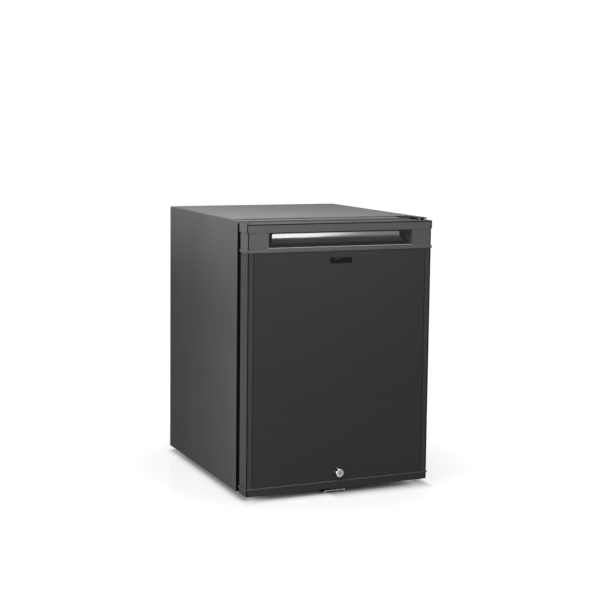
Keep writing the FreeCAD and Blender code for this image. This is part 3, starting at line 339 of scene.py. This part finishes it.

# %% [markdown]
# ## Sheet finishes
# Each finish starts from a plain colour and roughness, then gets what makes the real material read
# as itself. The cabinet's powder coat has a pebbled skin, paler where edges are rubbed. On the
# narrow frame behind the door it is painted near black, as painted shade from the door. The door
# sheet has level brushing, and the gap round its raised field is painted dark, as painted shade.
# Patterns follow the point on the piece in metres, so each one has the real scale. A hair is a
# tenth of a millimetre, and most masks end as softly as that.

# %% Powder coat
hair = 0.1 * millimetre
frame_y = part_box("cabinet_wrap")[0].y
top_fold = 553.5 * millimetre
coat = Finish("powder_coat", grey(86), 0.6, Specular_IOR_Level=0.03)
point = coat.place()
pebbles = coat.noise(point, 1400, 2.0)
clouds = coat.noise(point, 9, 3.0)
skin = coat.ramp(pebbles * 0.5 + clouds * 0.5, *tone_stops(81, 91))
rubbed_skin = coat.mix(coat.edges(0.9 * millimetre) * 0.22, skin, tint(130))
# painted shade: the narrow frame behind the door is made near black, where the door keeps the light
# off it
shaded_frame_front = coat.between(coat.part(point, 1), frame_y - millimetre,
                           frame_y + 0.6 * millimetre, hair)
below_top = 1 - coat.above(coat.part(point, 2), top_fold, 2 * hair)
coat.feed("Base Color", coat.mix(shaded_frame_front * below_top, rubbed_skin, tint(12)))
coat.feed("Roughness", 0.6 + pebbles * 0.10 + clouds * 0.06)
coat.bump(pebbles, 0.18, 0.4 * millimetre, 0.6 * millimetre)
print("cabinet frame faces the door at y", round(frame_y, 4))

# %% Brushed door sheet
door_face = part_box("door_profile_left")[0].y
field_edge = 0.7 * millimetre
lip_shade = 45 * millimetre
sheet = Finish("door_sheet", grey(24), 0.4, Specular_IOR_Level=0.2)
long_grain = sheet.noise(sheet.place((6, 6, 900)), 1, 3.0)
fine_grain = sheet.noise(sheet.place((30, 30, 2600)), 1, 2.0)
strokes = long_grain * 0.6 + fine_grain * 0.4
point = sheet.place()
# painted shade: the gap round the raised field is made near black above the bottom lip
shaded_gap = sheet.above(sheet.part(point, 1), door_face + field_edge, hair)
above_lip = sheet.above(sheet.part(point, 2), lip_shade, 2 * millimetre)
brushed = sheet.ramp(strokes, *tone_stops(20, 29))
sheet.feed("Base Color", sheet.mix(shaded_gap * above_lip * 0.9, brushed, tint(6)))
sheet.feed("Roughness", 0.34 + strokes * 0.12)
sheet.bump(strokes, 0.12, 0.2 * millimetre)
print("door face at y", round(door_face, 4))

# %% [markdown]
# ## Plastics
# Moulds are spark-eroded, which leaves a fine grain on what comes out of them. One helper makes
# them all: a noise for the grain, a slow drift of tone, and edges that handling keeps clean. The
# paints of wire, tube and hinges have the same look, so they come from it too. The lens over the
# lamp lets some light through, and level ribs spread it, so a wave up the lens takes the place of
# the grain.

# %% Moulded plastics
def moulded(name, level, grain, roughness, depth=0.3, warmth=0.0, drift_share=0.06, **sockets):
    """Plastic with the fine grain of its mould, a little cleaner and brighter on its edges."""
    made = Finish(name, grey(level, warmth), roughness, **sockets)
    point = made.place()
    skin = made.noise(point, grain, 3.0)
    drift = made.noise(point, 14, 2.0)
    low = tint(level * (1 - drift_share), warmth)
    high = tint(level * (1 + drift_share), warmth)
    tone = made.mix(made.ramp(skin * 0.6 + drift * 0.4, (0.3, 0.0), (0.7, 1.0)), low, high)
    worn = tint(min(level * 1.3 + 12, 245), warmth)
    made.feed("Base Color", made.mix(made.edges(0.7 * millimetre) * 0.3, tone, worn))
    made.feed("Roughness", roughness - 0.05 + skin * 0.1)
    made.bump(skin, depth, 0.3 * millimetre)
    return made


grey_plastic = moulded("grey_plastic", 148, 1600, 0.45)
foot_plastic = moulded("foot_plastic", 34, 900, 0.55)
bush_plastic = moulded("bush_plastic", 24, 1100, 0.5, Specular_IOR_Level=0.2)
terminal_plastic = moulded("terminal_plastic", 40, 1000, 0.5)
cover_plastic = moulded("cover_plastic", 214, 320, 0.8, 0.6)
liner_plastic = moulded("liner_plastic", 222, 700, 0.34, 0.08, drift_share=0.012)
rubber = moulded("gasket_rubber", 18, 700, 0.62, 0.2, Specular_IOR_Level=0.2)
foam = moulded("foam", 205, 240, 0.95, 0.8, 0.12)
badge_gloss = moulded("badge_gloss", 8, 900, 0.3, 0.03, Specular_IOR_Level=0.1)
dial_mark = moulded("dial_mark", 70, 900, 0.5, 0.1)
hinge_paint = moulded("hinge_paint", 20, 600, 0.5, 0.15, Specular_IOR_Level=0.15)
wire_coat = moulded("wire_coat", 206, 300, 0.35, 0.1)
tube_paint = moulded("tube_paint", 42, 260, 0.5, 0.3)
print("materials so far, the plain ones of the solids too:", len(bpy.data.materials))

# %% Milky lens with level ribs
lens = moulded("lens_plastic", 232, 500, 0.3, 0.15, Transmission_Weight=0.35, IOR=1.46)
rib_scale = 100.0
ribs = lens.node("TexWave", {"bands_direction": "Z"},
                 {"Vector": lens.place(), "Scale": rib_scale}, "Fac")
lens.bump(ribs, 0.5, 0.6 * millimetre)
print("lens ribs repeat along", ribs.socket.node.bands_direction)

# %% [markdown]
# ## Edges of the door
# The profiles down the sides and the caps at top and bottom share a flecked skin. Just behind the
# door's face a narrow groove runs along their outer edges. It is cut in the solids, and no light
# reaches into the real one, so a mask by depth and by distance from the edge makes it black.

# %% Flecked skin
def flecked(made, point, level, roughness=None):
    """Grain a finish, and return its flecked colour."""
    skin = made.noise(point, 1800, 3.0)
    flecks = made.noise(point, 330, 3.0)
    drift = made.noise(point, 14, 2.0)
    made.feed("Roughness", roughness or 0.45 + skin * 0.1)
    made.bump(skin, 0.25, 0.3 * millimetre)
    return made.ramp(flecks * 0.7 + drift * 0.3, *tone_stops(level * 0.9, level * 1.1))


# %% Shadow groove
door_side = 201 * millimetre
groove_mouth = 2.6 * millimetre
# painted shadow: the groove is made near black where no light reaches
painted_groove_shadow = tint(4)


def behind_face(made, point):
    """1 at the depth of the groove, just behind the door's face."""
    return made.between(made.part(point, 1), door_face + 0.35 * millimetre,
                        door_face + 2.0 * millimetre, hair)


def rim(made, value, border, width=groove_mouth):
    """1 in a strip just inside a border."""
    end = border - 0.3 * millimetre
    return made.between(value, end - width, end, hair)


def side_groove(made, point):
    """1 in the groove down both sides of the door."""
    return behind_face(made, point) * rim(made, made.distance(made.part(point, 0)), door_side)


print("groove is dark over", round(groove_mouth / millimetre, 1), "mm at the door's sides")

# %% Side profiles
profile_coat = Finish("profile_coat", grey(44), 0.5, Specular_IOR_Level=0.15)
point = profile_coat.place()
plain = flecked(profile_coat, point, 44)
dark = side_groove(profile_coat, point)
profile_coat.feed("Base Color", profile_coat.mix(dark, plain, painted_groove_shadow))

# %% Bottom cap, with a painted highlight on its lip
lip_foot = 30.1 * millimetre
lip_head = 33.2 * millimetre
foot_cap_plastic = Finish("foot_cap_plastic", grey(36), 0.5, Specular_IOR_Level=0.15)
point = foot_cap_plastic.place()
plain = flecked(foot_cap_plastic, point, 36)
# painted highlight: the lip is made lighter where its upper edge would catch the light
lip = foot_cap_plastic.between(foot_cap_plastic.part(point, 2), lip_foot, lip_head, 3 * hair)
lip_with_highlight = foot_cap_plastic.mix(lip, plain, tint(62))
dark = side_groove(foot_cap_plastic, point)
foot_cap_plastic.feed("Base Color", foot_cap_plastic.mix(dark, lip_with_highlight, painted_groove_shadow))
print("bottom cap's lip is", round((lip_head - lip_foot) / millimetre, 1), "mm high")

# %% [markdown]
# ## Top cap
# The cap is one moulding with four looks. Its outside is flecked plastic with the groove round its
# edges and round its band. A pale line on the lip under the grip is a painted highlight. The
# grip's scoop is polished, with a lacquer that mirrors the tall lamp, and its upper part is painted
# lighter as a painted glow; a dark line under the band is left as painted shade. The brow above is
# dull, because a glossy face that looks up would flash at a low angle, and its upward faces are
# painted darker as painted shade. Each look is a mask from the point's height, its distance from
# the door's middle and its depth behind the face. The grip's end walls lean in by 16 mm over a
# depth of 22.5 mm, and stay unpolished.

# %% The cap's groove
cap_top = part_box("door_top_cap")[1].z
band_foot = 537.9 * millimetre
band_head = 554.6 * millimetre
band_side = 203 * millimetre
cap_plastic = Finish("cap_plastic", grey(67), 0.5, Specular_IOR_Level=0.2)
point = cap_plastic.place()
across = cap_plastic.distance(cap_plastic.part(point, 0))
deep = cap_plastic.part(point, 1) - door_face
height = cap_plastic.part(point, 2)
on_band = cap_plastic.between(height, band_foot, band_head, hair)
under_top = rim(cap_plastic, height, cap_top, 2.7 * millimetre)
band_rim = cap_plastic.larger(rim(cap_plastic, across, band_side), under_top)
cap_rim = cap_plastic.larger(rim(cap_plastic, across, door_side), on_band * band_rim)
groove = behind_face(cap_plastic, point) * cap_rim
print("cap's top face at z", round(cap_top, 4))

# %% The cap's grip
grip_half = 157.5 * millimetre
grip_foot = 507.0 * millimetre
grip_head = 538.5 * millimetre
lip_depth = 1.1 * millimetre
wall_lean = 16.0 / 22.5
polish_head = 533.0 * millimetre
in_width = 1 - cap_plastic.above(across, grip_half, hair)
in_grip = (in_width * cap_plastic.between(height, grip_foot, grip_head, hair)
           * cap_plastic.above(deep, lip_depth, 2 * hair))
between_walls = 1 - cap_plastic.above(across + deep * wall_lean, grip_half - 3 * hair, hair)
# the lacquer and the painted glow stop below the grip's top, so a dark line stays under the band as
# painted shade
polished = in_grip * between_walls * (1 - cap_plastic.above(height, polish_head, 7 * hair))
# painted highlight: a pale line along the grip's lower lip
lit_grip_lip = (cap_plastic.between(height, grip_foot + hair, grip_foot + 1.4 * millimetre, 2 * hair)
            * in_width * cap_plastic.between(deep, -2 * hair, lip_depth, hair))
print("grip is", round(grip_half * 2 / millimetre), "mm wide,",
      round((grip_head - grip_foot) / millimetre, 1), "mm high")

# %% Colour and gloss of the cap
brow_foot = 545 * millimetre
scoop_glow_foot = 514.5 * millimetre
normal = cap_plastic.node("NewGeometry", {}, {}, "Normal")
facing_up = cap_plastic.ramp(cap_plastic.part(normal, 2), (0.25, 0.0), (0.5, 1.0))
# painted shade: the brow's upward faces are made darker; they are also rougher
dull_shaded_brow = facing_up * cap_plastic.above(height, brow_foot, millimetre)
outside = flecked(cap_plastic, point, 67, 0.5 + dull_shaded_brow * 0.5)
outside = cap_plastic.mix(groove, outside, painted_groove_shadow)
outside = cap_plastic.mix(lit_grip_lip, outside, tint(150))
outside = cap_plastic.mix(dull_shaded_brow, outside, tint(52))
# painted highlight: the upper scoop is made lighter, as a glow below the lamp's reflection
painted_scoop_glow = polished * cap_plastic.above(height, scoop_glow_foot, 4 * millimetre)
scoop = cap_plastic.mix(painted_scoop_glow, tint(28), tint(90))
cap_plastic.feed("Base Color", cap_plastic.mix(in_grip, outside, scoop))
cap_plastic.feed("Coat Weight", polished)
cap_plastic.shader.inputs["Coat Roughness"].default_value = 0.12
cap_plastic.shader.inputs["Coat IOR"].default_value = 1.85
print("cap's finish has", len(cap_plastic.tree.nodes), "nodes")

# %% [markdown]
# ## Metals
# Bare metal shows how it was made: rolled sheet has a spangle, fins have fine upright lines, plated
# parts are nearly plain. The plated lock and its strike sit between dark parts, so the helper
# keeps their shine to a solid's nose and paints their sides darker as painted shade.

# %% Bare and plated metal
def metal(name, level, roughness, stretch, scale, depth=0.1, warmth=0.0, nose_of=None, shaded_sides=0):
    """Metal with the marks of its making; a named solid's sides behind its nose get painted shade.
    """
    made = Finish(name, grey(level, warmth), roughness, Metallic=1.0)
    point = made.place()
    lines = made.noise(made.place(stretch), scale, 4.0)
    blotch = made.noise(point, 45, 3.0, 0.6)
    low = tint(level * 0.86, warmth)
    high = tint(min(level * 1.08, 250), warmth)
    tone = made.mix(made.ramp(lines * 0.5 + blotch * 0.5, (0.3, 0.0), (0.7, 1.0)), low, high)
    # painted shade: the sides behind a named solid's nose are made darker
    if nose_of:
        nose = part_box(nose_of)[0].y
        front = made.between(made.part(point, 1), nose - millimetre, nose + 0.7 * millimetre, hair)
        tone = made.mix(front, tint(shaded_sides, warmth), tone)
    made.feed("Base Color", tone)
    made.feed("Roughness", roughness - 0.06 + blotch * 0.12)
    made.bump(lines, depth, 0.2 * millimetre, 0.3 * millimetre)
    return made


galvanised = metal("galvanised_steel", 176, 0.42, (1, 1, 1), 120)
aluminium = metal("evaporator_aluminium", 200, 0.36, (1, 1, 0.03), 1500)
chrome = metal("lock_chrome", 160, 0.14, (1, 1, 1), 700, 0.03, 0.01, "lock_barrel", 46)
zinc = metal("zinc_steel", 188, 0.3, (1, 1, 1), 300, 0.08, 0.01)
# painted shade: a darker copy of the zinc for the strike and its screws, which sit under the door
shaded_strike_zinc = metal("shaded_strike_zinc", 150, 0.3, (1, 1, 1), 300, 0.08, 0.01, "lock_strike", 44)
casing = metal("boiler_sheet", 172, 0.4, (1, 1, 0.1), 220)
print("materials with the metals:", len(bpy.data.materials))

# %% [markdown]
# ## Dress the solids
# The record names a material slot for each solid, so one table from slot to finish dresses them
# all. The strike shares a slot with the screws, but its finish is a darker copy, as painted shade
# under the door, so it is dressed last.

# %% One finish for each slot
finishes = {
    "painted_steel": coat, "door_panel": sheet, "door_profile": profile_coat,
    "cap_plastic": cap_plastic, "foot_cap_plastic": foot_cap_plastic,
    "grey_plastic": grey_plastic, "foot_plastic": foot_plastic, "bush_plastic": bush_plastic,
    "terminal_plastic": terminal_plastic, "cover_plastic": cover_plastic,
    "liner_plastic": liner_plastic, "lens_plastic": lens, "gasket_rubber": rubber, "foam": foam,
    "hinge_steel": hinge_paint, "shelf_wire": wire_coat, "unit_paint": tube_paint,
    "galvanised_steel": galvanised, "evaporator_aluminium": aluminium, "lock_chrome": chrome,
    "zinc_steel": zinc, "boiler_sheet": casing,
}
for subpart in frame["record"]["subparts"]:
    solid = nodes[subpart["node"]]
    solid.data.materials.clear()
    solid.data.materials.append(finishes[subpart["material_slot"]].material)
nodes["lock_strike"].data.materials[0] = shaded_strike_zinc.material
print("dressed", len(nodes), "solids in", len(finishes) + 1, "finishes")

# %% [markdown]
# ## Tools for modelling by hand
# Every new piece starts from a primitive, goes into edit mode, and has its faces or edges chosen
# by where they lie, because a script has no mouse. Blender's operators act on all that is
# selected, so the first thing is to deselect the solids. A finished piece gets its place baked
# into its mesh, rides on a body and is dressed in one of the finishes.

# %% Start, choose and finish
def begin(name, primitive, scale=(1, 1, 1), **settings):
    """Add one primitive with nothing else selected, at its size."""
    bpy.ops.object.select_all(action="DESELECT")
    primitive(**settings)
    piece = bpy.context.object
    piece.name = name
    piece.scale = scale
    bpy.ops.object.transform_apply(location=False, rotation=False, scale=True)
    return piece


def choose(piece, kind, test):
    """Select the faces or edges that pass a test, in edit mode."""
    if piece.mode != "EDIT":
        bpy.ops.object.mode_set(mode="EDIT")
    bpy.ops.mesh.select_mode(type=kind)
    bpy.ops.mesh.select_all(action="DESELECT")
    shape = bmesh.from_edit_mesh(piece.data)
    for item in {"FACE": shape.faces, "EDGE": shape.edges}[kind]:
        if test(item):
            item.select_set(True)
    bmesh.update_edit_mesh(piece.data)


def along(edge, axis):
    """True for an edge that runs along an axis."""
    run = edge.verts[1].co - edge.verts[0].co
    return abs(run[axis]) > 0.99 * run.length


def pick(piece):
    """Make one piece the only one selected, and the one that operators act on."""
    bpy.ops.object.select_all(action="DESELECT")
    piece.select_set(True)
    bpy.context.view_layer.objects.active = piece


def settle(piece, body, finish, solids=(), smooth=35):
    """Bake the place, smooth the rounded faces, dress the piece and tie it to its body."""
    if piece.mode == "EDIT":
        bpy.ops.object.mode_set(mode="OBJECT")
    pick(piece)
    bpy.ops.object.transform_apply(location=True, rotation=True, scale=True)
    bpy.ops.object.shade_smooth_by_angle(angle=math.radians(smooth))
    piece.data.materials.clear()
    piece.data.materials.append(finish.material)
    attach(piece, body)
    if solids:
        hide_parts(*solids)


# %% [markdown]
# ## Badge plate
# A small glossy plate sits high on the door sheet, a little left of its middle. On this fridge it
# is bare. It is a flat block with rounded corners and a narrow polished bevel round its face, so a
# cube is scaled to its size, its four short edges are rounded, and its face is inset and raised.

# %% Badge plate
sheet_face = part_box("door_front_panel")[0].y
plate_rise = 0.5 * millimetre
badge = begin("badge_plate", bpy.ops.mesh.primitive_cube_add, size=1,
              location=(-0.0012, sheet_face - plate_rise / 2, 0.480),
              scale=(0.048, plate_rise, 0.0116))
choose(badge, "EDGE", lambda edge: along(edge, 1))
bpy.ops.mesh.bevel(offset=1.4 * millimetre, segments=5, affect="EDGES")
choose(badge, "FACE", lambda face: face.normal.y < -0.9)
bpy.ops.mesh.inset(thickness=0.5 * millimetre)
bpy.ops.transform.translate(value=(0, -0.35 * millimetre, 0))
settle(badge, "door", badge_gloss)
print("badge plate:", [round(value / millimetre, 1) for value in badge.dimensions], "mm")

# %% [markdown]
# ## Screws
# The hinge plates, the strike, the terminal box, the service cover and the back panel are held by
# low screws with a cross recess. One head is modelled: a short cylinder whose rim is rounded, cut
# by a cross that is itself two crossed bars. It is then copied to each place, turned to face
# outwards, and given a turn of its own, because no two screws stop at the same angle. Each row of
# the table holds a slot, a finish, the way the heads face, and where they lie in x, y and z.

# %% One screw head
head_rise = 0.9 * millimetre
bar_width = 0.7 * millimetre
bar_length = 3.4 * millimetre
screw = begin("screw_head", bpy.ops.mesh.primitive_cylinder_add, vertices=28,
              radius=3.1 * millimetre, depth=head_rise * 2, location=(0, 0, 0))
choose(screw, "EDGE", lambda edge: all(corner.co.z > 0 for corner in edge.verts))
bpy.ops.mesh.bevel(offset=0.55 * millimetre, segments=4, affect="EDGES")
bpy.ops.object.mode_set(mode="OBJECT")
cross = begin("cross_cutter", bpy.ops.mesh.primitive_cube_add, size=1, location=(0, 0, head_rise),
              scale=(bar_width, bar_length, 1.1 * millimetre))
bpy.ops.object.mode_set(mode="EDIT")
bpy.ops.mesh.duplicate()
bpy.ops.transform.resize(value=(bar_length / bar_width, bar_width / bar_length, 1))
bpy.ops.object.mode_set(mode="OBJECT")
bpy.ops.object.transform_apply(location=True, rotation=True, scale=True)
pick(screw)
cut = screw.modifiers.new("cross", "BOOLEAN")
cut.operation = "DIFFERENCE"
cut.use_self = True
cut.object = cross
bpy.ops.object.modifier_apply(modifier="cross")
bpy.data.objects.remove(cross)
print("one screw head has", len(screw.data.polygons), "faces")

# %% Screws in their places
plate_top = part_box("hinge_plate_top")[1].z
plate_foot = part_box("hinge_plate_bottom")[0].z
strike_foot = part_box("base_pan")[0].z - 1.5 * millimetre
lid_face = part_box("terminal_box")[1].y
cover_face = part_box("service_cover")[1].y
panel_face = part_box("back_panel")[1].y
turn_step = 0.7
facing = {"up": Matrix.Identity(4), "down": Matrix.Rotation(math.pi, 4, "X"),
          "back": Matrix.Rotation(-math.pi / 2, 4, "X")}
screw_groups = [
    ("hinge_steel", hinge_paint, "up", (0.1645, 0.1755), -0.167, (plate_top,)),
    ("hinge_steel", hinge_paint, "down", (0.1645, 0.1755), -0.167, (plate_foot,)),
    ("zinc_steel", shaded_strike_zinc, "down", (-0.014, 0.014), -0.150, (strike_foot,)),
    ("zinc_steel", zinc, "back", (-0.156, -0.084), lid_face, (0.0275, 0.0525)),
    ("zinc_steel", zinc, "back", (0.006, 0.134), cover_face, (0.395, 0.465)),
    ("zinc_steel", zinc, "back", (-0.191, 0.191), panel_face, (0.060, 0.290, 0.520)),
]
placed = 0
for slot, finish, way, columns, y, rows in screw_groups:
    for x, z in itertools.product(columns, rows):
        head = screw.copy()
        head.data = screw.data.copy()
        scene.collection.objects.link(head)
        head.matrix_world = (Matrix.Translation((x, y, z)) @ facing[way]
                             @ Matrix.Rotation(placed * turn_step, 4, "Z"))
        placed += 1
        head.name = "screw_%02d" % placed
        settle(head, "cabinet", finish)
bpy.data.objects.remove(screw)
print("screws:", placed)

# %% [markdown]
# ## Gasket
# A magnetic fridge gasket is a soft extrusion: a flat root in the liner, a bellows, and a square
# tube with the magnet. Its solid is plain. Here a rectangle of edges is carried all round the
# section: back over the folds of the outer wall, across the magnet, forward over the folds of the
# inner wall and across the root. At each step it is extruded and drawn in or out, which makes the
# folds and keeps the mitred corners, and the last loop is merged with the first.

# %% The gasket's section
gasket_low, gasket_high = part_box("door_gasket")
gasket_size = gasket_high - gasket_low
gasket_middle = (gasket_low + gasket_high) / 2
gasket_width = 11 * millimetre
outer_wall = [(0.0, 0.0), (0.16, 0.0), (0.20, 0.30), (0.30, 0.36), (0.38, 0.14), (0.46, 0.36),
              (0.54, 0.30), (0.60, 0.02), (0.68, 0.0), (0.94, 0.0), (1.0, 0.05)]
inner_wall = [(depth, 1 - drawn) for depth, drawn in reversed(outer_wall)]
section = outer_wall + inner_wall + outer_wall[:1]
print("gasket section has", len(section) - 1, "corners")

# %% Gasket with its folds
half_x = gasket_size.x / 2
half_z = gasket_size.z / 2
gasket = begin("gasket_bellows", bpy.ops.mesh.primitive_plane_add, size=2,
               rotation=(math.pi / 2, 0, 0), scale=(half_x, half_z, 1),
               location=(gasket_middle.x, gasket_low.y, gasket_middle.z))
bpy.ops.object.transform_apply(location=True, rotation=True, scale=True)
bpy.ops.object.mode_set(mode="EDIT")
bpy.ops.mesh.select_all(action="SELECT")
bpy.ops.mesh.delete(type="ONLY_FACE")
bpy.ops.mesh.select_mode(type="EDGE")
bpy.ops.mesh.select_all(action="SELECT")
for (depth, drawn), (new_depth, new_drawn) in zip(section, section[1:]):
    step = (new_depth - depth) * gasket_size.y
    change = (drawn - new_drawn) * gasket_width
    bpy.ops.mesh.extrude_region_move(TRANSFORM_OT_translate={"value": (0, step, 0)})
    bpy.ops.transform.resize(value=((half_x + change) / half_x, 1, (half_z + change) / half_z))
    half_x += change
    half_z += change
bpy.ops.mesh.select_all(action="SELECT")
bpy.ops.mesh.remove_doubles(threshold=0.02 * millimetre)
bpy.ops.mesh.normals_make_consistent(inside=False)
bpy.ops.object.mode_set(mode="OBJECT")
soft = gasket.modifiers.new("soft_folds", "BEVEL")
soft.width = 0.5 * millimetre
soft.segments = 2
soft.angle_limit = math.radians(15)
bpy.ops.object.modifier_apply(modifier="soft_folds")
settle(gasket, "door", rubber, ("door_gasket",), 50)
widest = max(face.area for face in gasket.data.polygons)
print("gasket faces:", len(gasket.data.polygons), "widest", round(widest * 1e6), "square mm")

# %% [markdown]
# ## Dial marks
# The control inside has plain numbers round its knob, from 0 to 7, and the knob's rib carries a
# pointer line. The numbers are text with a little depth, made a mesh, because a piece has its
# place in its mesh. The pointer is a bar with rounded corners that stands just proud of the rib.

# %% Numbers round the knob
knob_low, knob_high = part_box("control_knob")
housing_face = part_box("control_housing")[0].x
knob_middle = Vector((0, (knob_low.y + knob_high.y) / 2, (knob_low.z + knob_high.z) / 2))
dial_radius = 20.5 * millimetre
dial_sweep = 270
last_number = 7
for number in range(last_number + 1):
    turn = math.radians(-dial_sweep / 2 + number * dial_sweep / last_number)
    mark = begin("dial_number_%d" % number, bpy.ops.object.text_add, location=(0, 0, 0))
    mark.data.body = str(number)
    mark.data.size = 4.6 * millimetre
    mark.data.extrude = 0.1 * millimetre
    mark.data.align_x = "CENTER"
    mark.data.align_y = "CENTER"
    bpy.ops.object.convert(target="MESH")
    spot_on_dial = Vector((housing_face, knob_middle.y - math.sin(turn) * dial_radius,
                           knob_middle.z + math.cos(turn) * dial_radius))
    mark.matrix_world = (Matrix.Translation(spot_on_dial) @ Matrix.Rotation(-math.pi / 2, 4, "Z")
                         @ Matrix.Rotation(math.pi / 2, 4, "X"))
    settle(mark, "cabinet", dial_mark)
print("dial runs from 0 to", last_number, "over", dial_sweep, "degrees")

# %% Pointer line on the knob
pointer = begin("knob_pointer", bpy.ops.mesh.primitive_cube_add, size=1,
                location=(knob_low.x, knob_middle.y, knob_middle.z + 7.5 * millimetre),
                scale=(0.4 * millimetre, 1.1 * millimetre, 7 * millimetre))
choose(pointer, "EDGE", lambda edge: along(edge, 0))
bpy.ops.mesh.bevel(offset=0.4 * millimetre, segments=3, affect="EDGES")
settle(pointer, "control", liner_plastic)
print("knob middle at", [round(value / millimetre, 1) for value in knob_middle], "mm")
